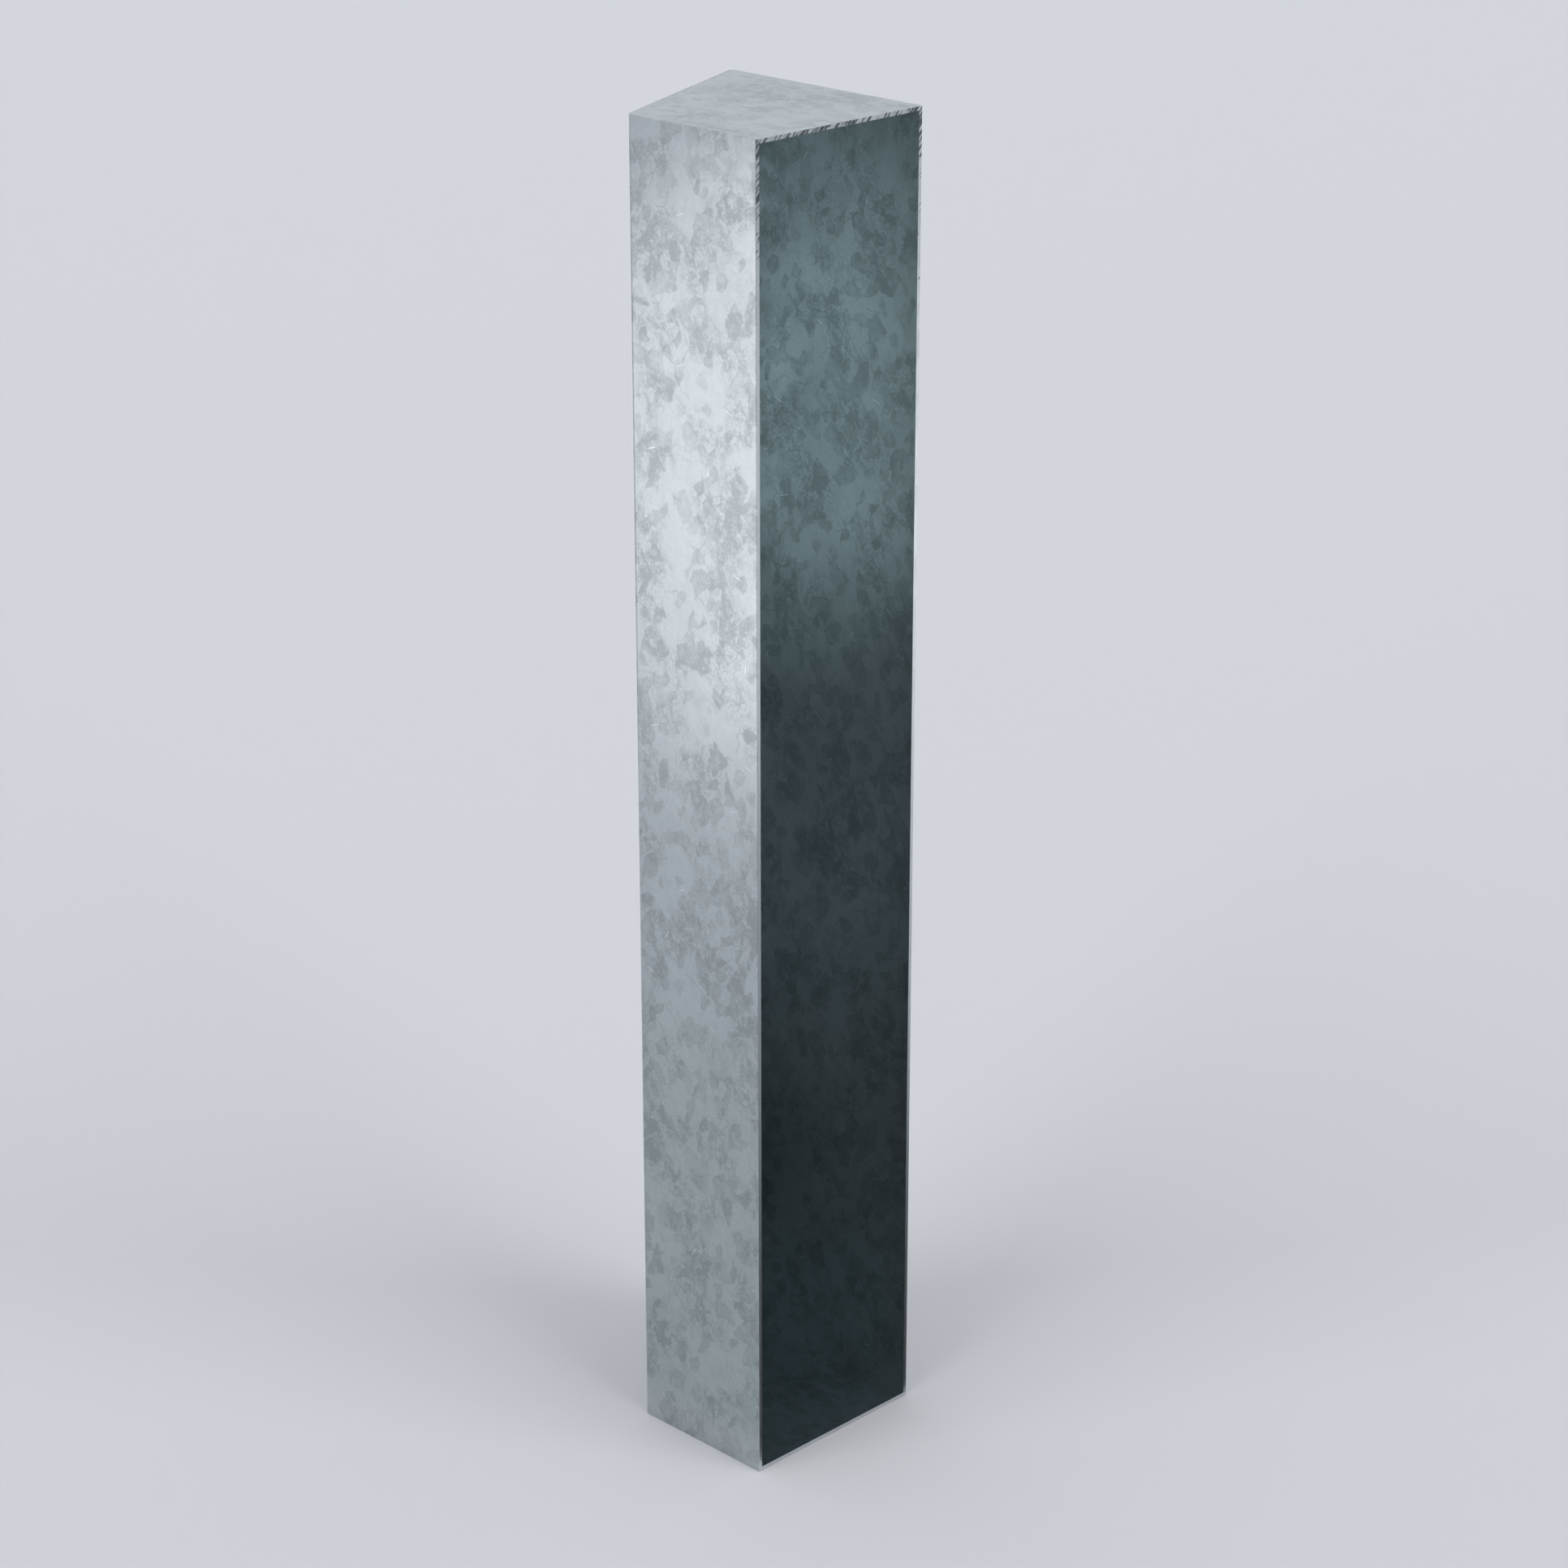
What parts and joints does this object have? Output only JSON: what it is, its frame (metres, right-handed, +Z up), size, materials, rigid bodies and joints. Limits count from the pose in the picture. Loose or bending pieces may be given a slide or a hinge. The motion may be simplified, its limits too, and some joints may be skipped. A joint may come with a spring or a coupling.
{
  "type": "sign pillar",
  "caption": "Tall free-standing sign pillar: one galvanised sheet folded to a right-trapezoid section, one side open, lid and base plate welded in flush.",
  "frame": {"origin": "centre of the bounding box's base, on the surface that it stands on", "axes": "+Z up along the pillar; the open side faces -Y; the short wall is at -X and the long wall at +X"},
  "size_m": [0.2, 0.2306, 1.25],
  "materials": {
    "galvanised_sheet": "hot-dip galvanised, large crisp zinc spangle, fine scratches",
    "galvanised_plate": "hot-dip galvanised, faint streaky spangle",
    "galvanised_weld": "ground flush and hot-dip galvanised, no spangle"
  },
  "bodies": {
    "root": {"folded_shell": "galvanised_sheet", "top_plate": "galvanised_plate", "base_plate": "galvanised_plate", "top_weld_left": "galvanised_weld", "top_weld_back": "galvanised_weld", "top_weld_right": "galvanised_weld", "base_weld_left": "galvanised_weld", "base_weld_back": "galvanised_weld", "base_weld_right": "galvanised_weld"}
  },
  "joints": []
}
